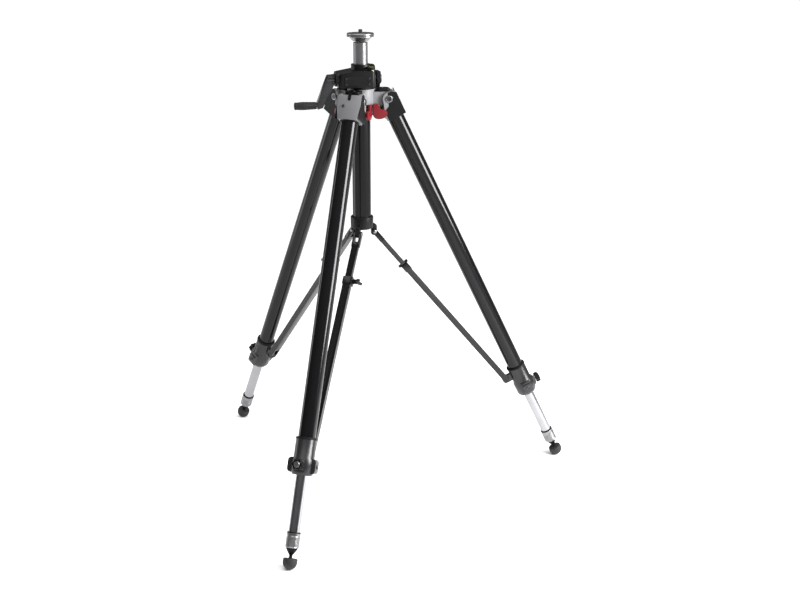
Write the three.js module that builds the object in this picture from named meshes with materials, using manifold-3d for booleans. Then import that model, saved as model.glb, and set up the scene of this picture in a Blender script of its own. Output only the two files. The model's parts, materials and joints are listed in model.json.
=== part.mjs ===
// A heavy studio tripod with a geared centre column, modelled as the separate pieces it is built from.
// Millimetres, +Z up. The legs stand 120 degrees apart round the column, one of them towards -Y.
import * as THREE from "three";
import { mergeVertices } from "three/addons/utils/BufferGeometryUtils.js";
import Module from "manifold-3d";

const wasm = await Module();
wasm.setup();

// ---- driving dimensions ----
const GAP = 0.3; // running gap between touching pieces
const LEG_AZIMUTHS = { front: 0, right: 120, left: -120 };
const LEG_ANGLE = THREE.MathUtils.degToRad(25.8); // from the vertical
const LEG_LENGTH = 992; // pivot to the centre of the foot ball
const PIVOT_RADIUS = 58;
const BALL_RADIUS = 15.5;
const PIVOT_HEIGHT = BALL_RADIUS + LEG_LENGTH * Math.cos(LEG_ANGLE);

const PIN_RADIUS = 4;
const BORE_RADIUS = PIN_RADIUS + GAP;
const ARM_HALF_WIDTH = 18;
const ARM_HALF_HEIGHT = 15;
const HEAD_HALF_WIDTH = 27;
const LEVER_PIN = 2;
const LEVER_PIVOT = [30, -12]; // inwards and up from the leg's pivot
const TUBE_RADIUS = 18.5;
const TUBE_WALL = 2;
const TUBE_TOP = 29; // distances along a leg, from its pivot
const TUBE_BOTTOM = 776;
const COLLAR_TOP = 736;
const COLLAR_BOTTOM = 812;
const LOWER_RADIUS = 12.5;
const LOWER_TOP = 330;
const RING_TOP = 932;
const RING_BOTTOM = 963;
const STEM_BOTTOM = 999;

const COLUMN_RADIUS = 16;
const COLUMN_INNER = 11;
const COLUMN_BOTTOM = 660;
const COLUMN_TOP = 1031;
const PLATE_TOP = 1051;
const PLATE_RADIUS = 30;
const STUD_RADIUS = 4.7;
const STUD_RISE = 8;
const SLEEVE_RADIUS = 21;
const SLEEVE_WALL = 3;
const SLEEVE_BOTTOM = 612;

const SPIDER_BOTTOM = PIVOT_HEIGHT - ARM_HALF_HEIGHT;
const SPIDER_TOP = PIVOT_HEIGHT + ARM_HALF_HEIGHT;
const COVER_HEIGHT = 6.5;
const HOUSING_BOTTOM = SPIDER_TOP + GAP + COVER_HEIGHT + GAP;
const HOUSING_TOP = 984;

const MODULE = 1.5; // of the rack and pinion
const TEETH = 12;
const PITCH_RADIUS = (MODULE * TEETH) / 2;
const BACKLASH = 0.14;
const HEAD_TURN = THREE.MathUtils.degToRad(30); // the crank points between the front and left legs
const RACK_LINE = 14.4; // the rack's pitch line, in front of the column's axis
const SHAFT_Y = -RACK_LINE - PITCH_RADIUS - 0.05;
const SHAFT_HEIGHT = 956;
const LOCK_HEIGHT = 951.5;

const HUB_PIN_RADIUS = 28;
const HUB_PIN_HEIGHT = 604;
const LUG_OFFSET = 36; // the brace pin, inwards from the leg's axis
const LUG_ALONG = 756; // and along the leg
const BRACE = { width: 18, depth: 14, wall: 1.2 };
const BRACE_TUBE_START = 108; // along the brace, from the hub pin

// The brace runs from the hub pin to the collar lug, in the leg's own upright plane.
const lugRadius = PIVOT_RADIUS + LUG_ALONG * Math.sin(LEG_ANGLE) - LUG_OFFSET * Math.cos(LEG_ANGLE);
const lugHeight = PIVOT_HEIGHT - LUG_ALONG * Math.cos(LEG_ANGLE) - LUG_OFFSET * Math.sin(LEG_ANGLE);
const braceRun = lugRadius - HUB_PIN_RADIUS;
const braceDrop = HUB_PIN_HEIGHT - lugHeight;
const BRACE_LENGTH = Math.hypot(braceRun, braceDrop);
const BRACE_ANGLE = Math.atan2(braceRun, braceDrop);

// ---- finishes ----
const finish = (color, roughness, metalness) =>
  new THREE.MeshStandardMaterial({ color, roughness, metalness });
const FINISH = {
  blackTube: finish(0x101012, 0.28, 0.6),
  greyCasting: finish(0x9a9a9c, 0.45, 0.5),
  blackCasting: finish(0x1a1a1c, 0.5, 0.3),
  darkCasting: finish(0x3c3a3e, 0.5, 0.3),
  satinMetal: finish(0x8c8c8e, 0.32, 0.9),
  chrome: finish(0xd6d6d8, 0.15, 1),
  steel: finish(0xa8a8aa, 0.3, 1),
  red: finish(0xa01420, 0.4, 0),
  blackPlastic: finish(0x111111, 0.45, 0),
  rubber: finish(0x0a0a0a, 0.8, 0),
  vial: finish(0xb8c83c, 0.1, 0),
};

// ---- solids from three.js geometry ----
// A closed geometry as a solid; one whose faces point inwards is turned inside out first.
function solid(geometry) {
  const bare = new THREE.BufferGeometry();
  bare.setAttribute("position", geometry.getAttribute("position"));
  bare.setIndex(geometry.index);
  const merged = mergeVertices(bare, 1e-4);
  const p = merged.attributes.position.array;
  const t = merged.index.array.slice();
  const corner = (i) => new THREE.Vector3(p[3 * i], p[3 * i + 1], p[3 * i + 2]);
  let volume = 0;
  for (let i = 0; i < t.length; i += 3) {
    volume += corner(t[i]).dot(corner(t[i + 1]).cross(corner(t[i + 2])));
  }
  if (volume < 0) t.reverse();
  const mesh = new wasm.Mesh({
    numProp: 3,
    vertProperties: p,
    triVerts: new Uint32Array(t),
  });
  return new wasm.Manifold(mesh);
}

const union = (...solids) => solids.reduce((a, b) => a.add(b));
const cut = (body, ...tools) => tools.reduce((a, b) => a.subtract(b), body);

const block = ([x0, x1], [y0, y1], [z0, z1]) =>
  solid(
    new THREE.BoxGeometry(x1 - x0, y1 - y0, z1 - z0).translate(
      (x0 + x1) / 2,
      (y0 + y1) / 2,
      (z0 + z1) / 2,
    ),
  );

// A solid of revolution round Z, from [radius, z] points that start and end on the axis.
function turned(profile, sides = 24) {
  const points = profile.map(([r, z]) => new THREE.Vector2(r, z));
  return solid(new THREE.LatheGeometry(points, sides).rotateX(Math.PI / 2));
}

const rod = (radius, z0, z1, sides = 24) =>
  turned([[0, z0], [radius, z0], [radius, z1], [0, z1]], sides);

const tube = (outer, inner, z0, z1, sides = 24) =>
  cut(rod(outer, z0, z1, sides), rod(inner, z0 - 1, z1 + 1, sides));

// A rod along X, centred on (y, z).
function crossRod(radius, [x0, x1], y = 0, z = 0, sides = 16) {
  const cylinder = new THREE.CylinderGeometry(radius, radius, x1 - x0, sides);
  return solid(cylinder.rotateZ(Math.PI / 2).translate((x0 + x1) / 2, y, z));
}

// Extrusions of an outline: up from z0, across X, or along Y.
function extrude(shape, depth, curveSegments = 4) {
  return new THREE.ExtrudeGeometry(shape, { depth, bevelEnabled: false, curveSegments });
}
const raised = (shape, z0, z1, curves) => solid(extrude(shape, z1 - z0, curves).translate(0, 0, z0));
// The outline's first axis is Y and its second is Z.
const across = (shape, [x0, x1], curves) =>
  solid(extrude(shape, x1 - x0, curves).rotateX(Math.PI / 2).rotateZ(Math.PI / 2).translate(x0, 0, 0));
// The outline's first axis is X and its second is Z.
const deep = (shape, [y0, y1], curves) =>
  solid(extrude(shape, y1 - y0, curves).rotateX(Math.PI / 2).translate(0, y1, 0));

const outline = (points) => new THREE.Shape(points.map(([x, y]) => new THREE.Vector2(x, y)));

function roundedRectangle([x0, x1], [y0, y1], r) {
  const s = new THREE.Shape();
  s.moveTo(x0 + r, y0);
  s.lineTo(x1 - r, y0);
  s.absarc(x1 - r, y0 + r, r, -Math.PI / 2, 0, false);
  s.lineTo(x1, y1 - r);
  s.absarc(x1 - r, y1 - r, r, 0, Math.PI / 2, false);
  s.lineTo(x0 + r, y1);
  s.absarc(x0 + r, y1 - r, r, Math.PI / 2, Math.PI, false);
  s.lineTo(x0, y0 + r);
  s.absarc(x0 + r, y0 + r, r, Math.PI, 1.5 * Math.PI, false);
  return s;
}

// A lobed knob's outline: its radius swings between low and high, lobes times round.
function lobed(lobes, low, high, steps = 8) {
  const n = lobes * steps;
  const mid = (high + low) / 2;
  const swing = (high - low) / 2;
  return outline(
    Array.from({ length: n }, (_, i) => {
      const a = (2 * Math.PI * i) / n;
      const r = mid + swing * Math.cos(lobes * a);
      return [r * Math.cos(a), r * Math.sin(a)];
    }),
  );
}

// ---- placing pieces ----
const tripod = new THREE.Group();
const head = new THREE.Group();
head.rotation.z = HEAD_TURN;
tripod.add(head);

function piece(parent, name, body, material) {
  const m = body.getMesh();
  const geometry = new THREE.BufferGeometry();
  geometry.setAttribute("position", new THREE.BufferAttribute(m.vertProperties, 3));
  geometry.setIndex(new THREE.BufferAttribute(m.triVerts, 1));
  geometry.computeVertexNormals();
  const mesh = new THREE.Mesh(geometry, material);
  mesh.name = name;
  parent.add(mesh);
  return mesh;
}

// ---- spider: the grey casting that carries the legs ----
function spider() {
  let body = rod(30, SPIDER_BOTTOM, HOUSING_BOTTOM - GAP, 30);
  for (const azimuth of Object.values(LEG_AZIMUTHS)) {
    const turn = THREE.MathUtils.degToRad(azimuth);
    const beam = new THREE.BoxGeometry(2 * ARM_HALF_WIDTH, PIVOT_RADIUS - 24, 2 * ARM_HALF_HEIGHT);
    beam.translate(0, -(PIVOT_RADIUS + 24) / 2, PIVOT_HEIGHT).rotateZ(turn);
    const eye = new THREE.CylinderGeometry(ARM_HALF_HEIGHT, ARM_HALF_HEIGHT, 2 * ARM_HALF_WIDTH, 24);
    eye.rotateZ(Math.PI / 2).translate(0, -PIVOT_RADIUS, PIVOT_HEIGHT).rotateZ(turn);
    const bore = new THREE.CylinderGeometry(BORE_RADIUS, BORE_RADIUS, 60, 16);
    bore.rotateZ(Math.PI / 2).translate(0, -PIVOT_RADIUS, PIVOT_HEIGHT).rotateZ(turn);
    body = cut(union(body, solid(beam), solid(eye)), solid(bore));
    for (const end of [-1, 1]) {
      const seat = new THREE.CylinderGeometry(LEVER_PIN + GAP, LEVER_PIN + GAP, 8, 12).rotateZ(Math.PI / 2);
      seat.translate(end * (ARM_HALF_WIDTH - GAP), LEVER_PIVOT[0] - PIVOT_RADIUS, PIVOT_HEIGHT + LEVER_PIVOT[1]);
      body = cut(body, solid(seat.rotateZ(turn)));
    }
  }
  return cut(body, rod(SLEEVE_RADIUS + GAP, SPIDER_BOTTOM - 1, HOUSING_BOTTOM + 1, 30));
}

// ---- centre column ----
function pinion() {
  const base = PITCH_RADIUS * Math.cos(THREE.MathUtils.degToRad(20));
  const involute = (r) => {
    const a = Math.acos(Math.min(1, base / r));
    return Math.tan(a) - a;
  };
  const root = PITCH_RADIUS - 1.05 * MODULE;
  const tip = PITCH_RADIUS + 0.8 * MODULE;
  const half = Math.PI / (2 * TEETH) - BACKLASH / PITCH_RADIUS;
  const flank = [root, ...[0, 0.35, 0.7, 1].map((k) => base + (tip - base) * k)];
  const points = [];
  for (let tooth = 0; tooth < TEETH; tooth++) {
    const middle = Math.PI + (2 * Math.PI * tooth) / TEETH; // one tooth points at the rack
    const side = (r, sign) => {
      const a = middle + sign * (half + involute(PITCH_RADIUS) - involute(r));
      points.push([r * Math.cos(a), r * Math.sin(a)]);
    };
    flank.forEach((r) => side(r, -1));
    [...flank].reverse().forEach((r) => side(r, 1));
  }
  return outline(points);
}

function pinionShaft() {
  return union(crossRod(PIN_RADIUS, [-75, 14], 0, 0), across(pinion(), [-4, 4]));
}

// The rack's teeth, towards +Y, are spaced so that a gap faces the pinion's tooth.
function rack() {
  const pitch = Math.PI * MODULE;
  const slope = Math.tan(THREE.MathUtils.degToRad(20));
  const tip = RACK_LINE + 0.7 * MODULE;
  const root = RACK_LINE - MODULE;
  const halfAt = (y) => pitch / 4 - BACKLASH - (y - RACK_LINE) * slope;
  const points = [];
  const back = 9.8;
  for (let n = -54; n < 12; n++) {
    const middle = SHAFT_HEIGHT + (n + 0.5) * pitch;
    points.push([root, middle - halfAt(root)], [tip, middle - halfAt(tip)]);
    points.push([tip, middle + halfAt(tip)], [root, middle + halfAt(root)]);
  }
  const bottom = points[0][1] - 2;
  const top = points.at(-1)[1] + 2;
  points.unshift([back, bottom], [root, bottom]);
  points.push([root, top], [back, top]);
  return { shape: outline(points), bottom, top };
}

function addColumn() {
  const teeth = rack();
  const slot = block([-4.8, 4.8], [-20, -8], [teeth.bottom - GAP, teeth.top + GAP]);
  piece(
    head,
    "column_tube",
    cut(tube(COLUMN_RADIUS, COLUMN_INNER, COLUMN_BOTTOM, COLUMN_TOP, 30), slot),
    FINISH.satinMetal,
  );
  piece(head, "column_rack", across(teeth.shape, [-4.5, 4.5]), FINISH.steel).rotation.z = Math.PI;
  const plate = turned([
    [0, COLUMN_TOP + GAP],
    [COLUMN_RADIUS + 1, COLUMN_TOP + GAP],
    [PLATE_RADIUS - 5, PLATE_TOP - 8.5],
    [PLATE_RADIUS, PLATE_TOP - 7.5],
    [PLATE_RADIUS, PLATE_TOP - 0.8],
    [PLATE_RADIUS - 0.8, PLATE_TOP],
    [0, PLATE_TOP],
  ], 36);
  const stud = [
    [0, COLUMN_TOP + 4],
    [STUD_RADIUS, COLUMN_TOP + 4],
    [STUD_RADIUS, PLATE_TOP + STUD_RISE - 1.2],
    [STUD_RADIUS - 1.2, PLATE_TOP + STUD_RISE],
    [0, PLATE_TOP + STUD_RISE],
  ];
  piece(tripod, "top_plate", cut(plate, rod(STUD_RADIUS + GAP, 1000, 1100, 20)), FINISH.satinMetal);
  piece(tripod, "head_stud", turned(stud, 20), FINISH.steel);
  piece(
    tripod,
    "sleeve_tube",
    tube(SLEEVE_RADIUS, SLEEVE_RADIUS - SLEEVE_WALL, SLEEVE_BOTTOM, SPIDER_TOP, 30),
    FINISH.blackTube,
  );
  const capTop = SLEEVE_BOTTOM + 3;
  const cap = cut(
    rod(SLEEVE_RADIUS - SLEEVE_WALL - GAP, SLEEVE_BOTTOM, capTop, 32),
    rod(5, SLEEVE_BOTTOM - 1, capTop + 1, 16),
  );
  piece(tripod, "sleeve_cap", cap, FINISH.blackPlastic);
}

// ---- gear housing, with the pinion behind the column and the lock screw at its right ----
function gearHousing() {
  const side = outline([
    [-56, HOUSING_BOTTOM + 6],
    [27, HOUSING_BOTTOM + 6],
    [27, 963],
    [20, 972],
    [-16, 973],
    [-52, 967],
    [-56, 962],
  ]);
  const plan = roundedRectangle([-56, 27], [-40, 27], 9);
  const body = deep(side, [-41, 28]).intersect(raised(plan, 900, 1000));
  const hollows = [
    rod(COLUMN_RADIUS + 0.6, 900, 1000, 30),
    crossRod(PITCH_RADIUS + 1.6, [-12, 16], SHAFT_Y, SHAFT_HEIGHT, 20),
    crossRod(BORE_RADIUS, [-80, 0], SHAFT_Y, SHAFT_HEIGHT),
    crossRod(BORE_RADIUS, [10, 40], 0, LOCK_HEIGHT),
  ];
  return cut(
    union(
      body,
      rod(31, HOUSING_BOTTOM, HOUSING_BOTTOM + 6.5, 30),
      rod(21.5, 965, HOUSING_TOP, 30),
      crossRod(13, [-58, -40], SHAFT_Y, SHAFT_HEIGHT, 28),
      crossRod(11, [20, 29], 0, LOCK_HEIGHT, 24),
    ),
    ...hollows,
  );
}

function addHead() {
  piece(tripod, "spider", spider(), FINISH.greyCasting);
  piece(head, "gear_housing", gearHousing(), FINISH.blackCasting);
  piece(head, "bubble_level", rod(7, 973.5, 980, 24), FINISH.vial).position.set(18, -27, 0);

  const drive = new THREE.Group();
  drive.position.set(0, SHAFT_Y, SHAFT_HEIGHT);
  head.add(drive);
  piece(drive, "pinion_shaft", pinionShaft(), FINISH.steel);
  const disc = across(lobed(10, 16, 17.5, 6), [-63, -58 - GAP]);
  piece(drive, "friction_knob", cut(disc, crossRod(BORE_RADIUS, [-70, -50])), FINISH.blackPlastic);

  const arm = outline([[-80, 8], [-64, 10], [-64, -10], [-91, -62], [-102, -65], [-104, -53]]);
  const spindle = crossRod(3, [-143, -97], 0, -57, 16);
  const crank = cut(
    union(deep(arm, [-8, 8]), crossRod(10, [-79, -63 - GAP], 0, 0, 24), spindle),
    crossRod(BORE_RADIUS, [-75 - GAP, -60]),
  );
  piece(drive, "crank_arm", crank, FINISH.darkCasting);
  const grip = turned([[0, 0], [7.4, 0], [8.2, 4], [8.7, 24], [9.4, 42], [8.7, 48], [6.5, 49], [0, 49]], 28);
  const gripMesh = piece(drive, "crank_grip", cut(grip, rod(3 + GAP, -1, 39, 16)), FINISH.blackPlastic);
  gripMesh.rotation.y = -Math.PI / 2;
  gripMesh.position.set(-104 - GAP, 0, -57);

  const lock = new THREE.Group();
  lock.position.set(0, 0, LOCK_HEIGHT);
  head.add(lock);
  piece(lock, "lock_stem", crossRod(PIN_RADIUS, [17.2, 38]), FINISH.steel);
  const lockKnob = union(across(lobed(5, 14, 20.5), [32, 43]), crossRod(11, [29 + GAP, 46], 0, 0, 24));
  piece(lock, "lock_knob", cut(lockKnob, crossRod(BORE_RADIUS, [20, 38 + GAP])), FINISH.blackPlastic);
}

// ---- brace hub, on the foot of the sleeve ----
function addBraceHub() {
  let ring = rod(26, SLEEVE_BOTTOM + 3, SLEEVE_BOTTOM + 28, 30);
  for (const azimuth of Object.values(LEG_AZIMUTHS)) {
    const lug = extrude(roundedRectangle([20, 34], [595, 622], 6.9), 8, 3)
      .rotateX(Math.PI / 2)
      .translate(0, 4, 0)
      .rotateZ(THREE.MathUtils.degToRad(azimuth - 90));
    ring = ring.add(solid(lug));
  }
  const bore = rod(SLEEVE_RADIUS + GAP, SLEEVE_BOTTOM - 40, SLEEVE_BOTTOM + 40, 30);
  piece(tripod, "brace_hub", ring.subtract(bore), FINISH.blackCasting);
}

// ---- one leg; in its own frame X runs across the leg, Y inwards and Z up along it from the pivot ----
function legHead() {
  const front = outline([[-27, 14], [27, 14], [27, -15], [21.5, -46], [-21.5, -46], [-27, -15]]);
  const profile = new THREE.Shape();
  profile.moveTo(-22, -46);
  profile.lineTo(21, -46);
  profile.lineTo(21, -20);
  profile.lineTo(14, 0);
  profile.absarc(0, 0, 14, 0, Math.PI / 2, false);
  profile.lineTo(-12, 14);
  profile.lineTo(-22, 6);
  const body = deep(front, [-23, 22]).intersect(across(profile, [-28, 28]));
  return cut(
    body,
    block([-19, 19], [-17, 30], [-21, 20]),
    block([-2.5, 2.5], [-30, 0], [2, 20]),
    crossRod(BORE_RADIUS, [-30, 30]),
    rod(TUBE_RADIUS + GAP, -60, -TUBE_TOP + GAP),
  );
}

function legPin() {
  const heads = [-1, 1].map((s) => {
    const inner = s * (HEAD_HALF_WIDTH + GAP);
    const outer = s * (HEAD_HALF_WIDTH + 3);
    return crossRod(7.5, [Math.min(inner, outer), Math.max(inner, outer)], 0, 0, 24);
  });
  return union(crossRod(PIN_RADIUS, [-HEAD_HALF_WIDTH - 1, HEAD_HALF_WIDTH + 1]), ...heads);
}

function legCollar() {
  const body = union(
    rod(22.5, -786, -COLLAR_TOP),
    turned([[0, -COLLAR_BOTTOM], [21, -COLLAR_BOTTOM], [24.5, -806], [24.5, -779], [22, -774], [0, -774]]),
    deep(roundedRectangle([-31, 31], [-808, -776], 8), [-11, 11], 3),
    across(roundedRectangle([-28, 0], [-803, -779], 7), [-10, 10], 3),
    across(roundedRectangle([10, LUG_OFFSET + 9], [-LUG_ALONG - 9, -LUG_ALONG + 9], 8.9), [-5, 5], 4),
  );
  return cut(
    body,
    rod(TUBE_RADIUS + GAP, -TUBE_BOTTOM - GAP, -COLLAR_TOP + 1),
    rod(LOWER_RADIUS + GAP, -COLLAR_BOTTOM - 1, -COLLAR_TOP),
    solid(new THREE.CylinderGeometry(BORE_RADIUS, BORE_RADIUS, 30, 16).translate(0, -25, -791)),
  );
}

// Turned pieces whose axis is local Y, pointing outwards.
function collarKnob() {
  const grip = solid(extrude(lobed(6, 9.5, 12.5, 4), 11).rotateX(Math.PI / 2).translate(0, -30, 0));
  const boss = new THREE.CylinderGeometry(8, 8, 3, 16).translate(0, -29.8, 0);
  const stem = new THREE.CylinderGeometry(PIN_RADIUS, PIN_RADIUS, 20, 16).translate(0, -25, 0);
  return union(grip, solid(boss), solid(stem));
}

function releaseLever() {
  const limb = new THREE.Shape();
  limb.moveTo(21, -21);
  limb.lineTo(26, -9);
  limb.lineTo(33, -9);
  limb.quadraticCurveTo(37, -10, 37, -16);
  limb.lineTo(37, -34);
  limb.quadraticCurveTo(36, -42, 26, -43);
  limb.quadraticCurveTo(9, -44, 5, -33);
  limb.quadraticCurveTo(4, -25, 12, -23);
  const inner = HEAD_HALF_WIDTH + GAP + 0.7;
  return union(
    across(limb, [inner, inner + 5]),
    across(limb, [-inner - 5, -inner]),
    across(roundedRectangle([29.5, 33.5], [-34, -18], 1.9), [-inner - 1, inner + 1]),
    crossRod(LEVER_PIN, [ARM_HALF_WIDTH - 4, inner + 1], ...LEVER_PIVOT),
    crossRod(LEVER_PIN, [-inner - 1, -ARM_HALF_WIDTH + 4], ...LEVER_PIVOT),
  );
}

function footPieces(leg, side) {
  const ring = turned([
    [0, -RING_BOTTOM],
    [13.5, -RING_BOTTOM],
    [15, -RING_BOTTOM + 1.5],
    [15, -RING_TOP - 2],
    [14.2, -RING_TOP],
    [0, -RING_TOP],
  ]);
  piece(
    leg,
    `foot_ring_${side}`,
    cut(ring, rod(LOWER_RADIUS + GAP, -RING_BOTTOM + 6, 0), rod(BORE_RADIUS, -1000, 0, 16)),
    FINISH.satinMetal,
  );
  const spike = [
    [0, -STEM_BOTTOM],
    [PIN_RADIUS, -STEM_BOTTOM + 9],
    [PIN_RADIUS, -977],
    [5, -976],
    [12.5, -RING_BOTTOM - GAP],
    [PIN_RADIUS, -RING_BOTTOM - GAP],
    [PIN_RADIUS, -RING_BOTTOM + 5],
    [0, -RING_BOTTOM + 5],
  ];
  piece(leg, `foot_spike_${side}`, turned(spike, 16), FINISH.blackPlastic);
  const ball = [[0, -LEG_LENGTH - BALL_RADIUS]];
  const steps = 5;
  for (let i = 1; i <= steps; i++) {
    const a = (Math.PI / 2) * (i / steps);
    ball.push([BALL_RADIUS * Math.sin(a), -LEG_LENGTH - BALL_RADIUS * Math.cos(a)]);
  }
  ball.push([BALL_RADIUS, -986], [BALL_RADIUS - 1.5, -984], [0, -984]);
  const well = rod(BORE_RADIUS, -STEM_BOTTOM - 1, -980, 16);
  piece(leg, `rubber_foot_${side}`, cut(turned(ball), well), FINISH.rubber);
}

function addLeg(side, azimuth) {
  const station = new THREE.Group();
  station.rotation.z = THREE.MathUtils.degToRad(azimuth);
  tripod.add(station);
  const cover = raised(roundedRectangle([-17, 17], [-64, -33], 8), SPIDER_TOP + GAP, SPIDER_TOP + COVER_HEIGHT);
  piece(station, `arm_cover_${side}`, cover, FINISH.blackPlastic);

  const lever = piece(station, `release_lever_${side}`, releaseLever(), FINISH.red);
  lever.position.set(0, -PIVOT_RADIUS, PIVOT_HEIGHT);

  const leg = new THREE.Group();
  leg.position.set(0, -PIVOT_RADIUS, PIVOT_HEIGHT);
  leg.rotation.x = -LEG_ANGLE;
  station.add(leg);
  piece(leg, `leg_pin_${side}`, legPin(), FINISH.steel);
  piece(leg, `leg_head_${side}`, legHead(), FINISH.greyCasting);
  piece(
    leg,
    `upper_tube_${side}`,
    tube(TUBE_RADIUS, TUBE_RADIUS - TUBE_WALL, -TUBE_BOTTOM, -TUBE_TOP),
    FINISH.blackTube,
  );
  piece(leg, `leg_collar_${side}`, legCollar(), FINISH.darkCasting);
  piece(leg, `collar_knob_${side}`, collarKnob(), FINISH.blackPlastic).position.z = -791;
  piece(
    leg,
    `lower_tube_${side}`,
    tube(LOWER_RADIUS, LOWER_RADIUS - 1.5, -RING_BOTTOM + 6 + GAP, -LOWER_TOP),
    FINISH.chrome,
  );
  footPieces(leg, side);
}

// ---- one telescopic brace; in its own frame Z runs up along it from the hub pin ----
function braceRod() {
  const [w, d] = [BRACE.width / 2, BRACE.depth / 2];
  const [iw, id] = [w - BRACE.wall - GAP, d - BRACE.wall - GAP];
  const bar = block([-iw, iw], [-id, id], [-400, -24]);
  const fork = across(roundedRectangle([-6, 6], [-34, 6], 5.9), [-w, w], 3);
  return cut(union(bar, fork), block([-4.6, 4.6], [-10, 10], [-21, 10]));
}

function braceTube() {
  const [w, d] = [BRACE.width / 2, BRACE.depth / 2];
  const shell = block([-w, w], [-d, d], [-BRACE_LENGTH + 20, -BRACE_TUBE_START]);
  const end = across(roundedRectangle([-d, d], [-BRACE_LENGTH - 6, -BRACE_LENGTH + 46], 6), [-w, w], 3);
  const clamp = block([-w - 1.5, w + 3], [-d - 1.5, d + 1.5], [-BRACE_TUBE_START - 18, -BRACE_TUBE_START]);
  const hollow = block(
    [-w + BRACE.wall, w - BRACE.wall],
    [-d + BRACE.wall, d - BRACE.wall],
    [-BRACE_LENGTH + 34, -BRACE_TUBE_START + 1],
  );
  const fork = block([-5.5, 5.5], [-20, 20], [-BRACE_LENGTH - 20, -BRACE_LENGTH + 28]);
  const thread = crossRod(3.3, [0, 20], 0, -BRACE_TUBE_START - 9, 16);
  return cut(union(shell, end, clamp), hollow, fork, thread);
}

function wingScrew() {
  const wing = new THREE.Shape();
  wing.moveTo(-4, 0);
  wing.lineTo(4, 0);
  wing.lineTo(13, 10);
  wing.quadraticCurveTo(14, 15, 9, 15);
  wing.lineTo(0, 7);
  wing.lineTo(-9, 15);
  wing.quadraticCurveTo(-14, 15, -13, 10);
  const wings = extrude(wing, 5, 3).translate(0, 0, -2.5).rotateZ(-Math.PI / 2).translate(16, 0, 0);
  return union(
    solid(wings),
    crossRod(5.5, [BRACE.width / 2 + 3 + GAP, 21], 0, 0, 20),
    crossRod(3, [BRACE.width / 2 - BRACE.wall + GAP, 16], 0, 0, 16),
  );
}

function addBrace(side, azimuth) {
  const station = new THREE.Group();
  station.rotation.z = THREE.MathUtils.degToRad(azimuth);
  tripod.add(station);
  const brace = new THREE.Group();
  brace.position.set(0, -HUB_PIN_RADIUS, HUB_PIN_HEIGHT);
  brace.rotation.x = -BRACE_ANGLE;
  station.add(brace);
  piece(brace, `brace_rod_${side}`, braceRod(), FINISH.blackTube);
  piece(brace, `brace_tube_${side}`, braceTube(), FINISH.blackTube);
  const screw = piece(brace, `wing_screw_${side}`, wingScrew(), FINISH.blackPlastic);
  screw.position.z = -BRACE_TUBE_START - 9;
}

// ---- the whole tripod ----
addColumn();
addHead();
addBraceHub();
for (const [side, azimuth] of Object.entries(LEG_AZIMUTHS)) {
  addLeg(side, azimuth);
  addBrace(side, azimuth);
}

// The part's origin is the middle of its footprint, on the floor.
const bounds = new THREE.Box3().setFromObject(tripod, true);
const middle = bounds.getCenter(new THREE.Vector3());
tripod.position.set(-middle.x, -middle.y, -bounds.min.z);

export default tripod;
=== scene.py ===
import json
import math

import bmesh
import bpy
from mathutils import Matrix, Vector


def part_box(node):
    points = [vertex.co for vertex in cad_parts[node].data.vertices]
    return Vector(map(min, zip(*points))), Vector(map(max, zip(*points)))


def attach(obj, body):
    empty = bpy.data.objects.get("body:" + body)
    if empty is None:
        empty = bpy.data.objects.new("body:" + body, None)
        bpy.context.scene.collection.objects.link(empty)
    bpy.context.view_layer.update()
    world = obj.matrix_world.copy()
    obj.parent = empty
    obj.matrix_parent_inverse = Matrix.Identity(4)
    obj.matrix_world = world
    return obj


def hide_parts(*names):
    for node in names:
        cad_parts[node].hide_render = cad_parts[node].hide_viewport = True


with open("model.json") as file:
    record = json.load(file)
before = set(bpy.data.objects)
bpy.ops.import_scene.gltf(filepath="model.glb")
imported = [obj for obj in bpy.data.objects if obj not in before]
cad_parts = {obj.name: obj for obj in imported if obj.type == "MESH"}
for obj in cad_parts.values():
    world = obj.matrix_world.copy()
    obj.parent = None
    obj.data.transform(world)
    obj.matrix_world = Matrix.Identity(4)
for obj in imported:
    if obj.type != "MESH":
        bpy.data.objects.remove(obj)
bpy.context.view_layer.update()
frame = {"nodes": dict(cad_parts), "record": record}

# ---- The studio ----
# The tripod stands on a plain pale floor under soft light. The camera looks down on it
# from a little above the top plate, from the right of the front leg.
MM = 0.001
plate_low, plate_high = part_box("top_plate")
column_axis = Vector(((plate_low[0] + plate_high[0]) / 2, (plate_low[1] + plate_high[1]) / 2, 0))

camera_turn = math.radians(16.8)
camera_tilt = math.radians(17.2)
camera_away = 2.9573
camera_aside = 0.0868
camera_aim_height = 0.4394
away = Vector((math.sin(camera_turn) * math.cos(camera_tilt),
               -math.cos(camera_turn) * math.cos(camera_tilt), math.sin(camera_tilt)))
aside = Vector((math.cos(camera_turn), math.sin(camera_turn), 0))

camera = bpy.data.objects.new("camera", bpy.data.cameras.new("camera"))
bpy.context.collection.objects.link(camera)
aim_point = column_axis + Vector((0, 0, camera_aim_height))
camera.location = aim_point + away * camera_away + aside * camera_aside
camera.rotation_euler = (math.pi / 2 - camera_tilt, 0, camera_turn)
camera.data.sensor_width = 36
camera.data.lens = 57.14
bpy.context.scene.camera = camera
bpy.context.scene.view_settings.view_transform = "Standard"


def soft_box(name, direction_degrees, distance, height, size, power):
    """A soft light, upright, turned to the tripod; its direction is measured from the camera's."""
    light = bpy.data.lights.new(name, "AREA")
    light.shape = "RECTANGLE"
    light.size, light.size_y = size
    light.energy = power
    box = bpy.data.objects.new(name, light)
    bpy.context.collection.objects.link(box)
    a = camera_turn + math.radians(direction_degrees)
    box.location = column_axis + Vector((math.sin(a) * distance, -math.cos(a) * distance, height))
    aim = column_axis + Vector((0, 0, 0.5)) - box.location
    box.rotation_euler = aim.to_track_quat("-Z", "Y").to_euler()
    box.visible_camera = False


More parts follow.
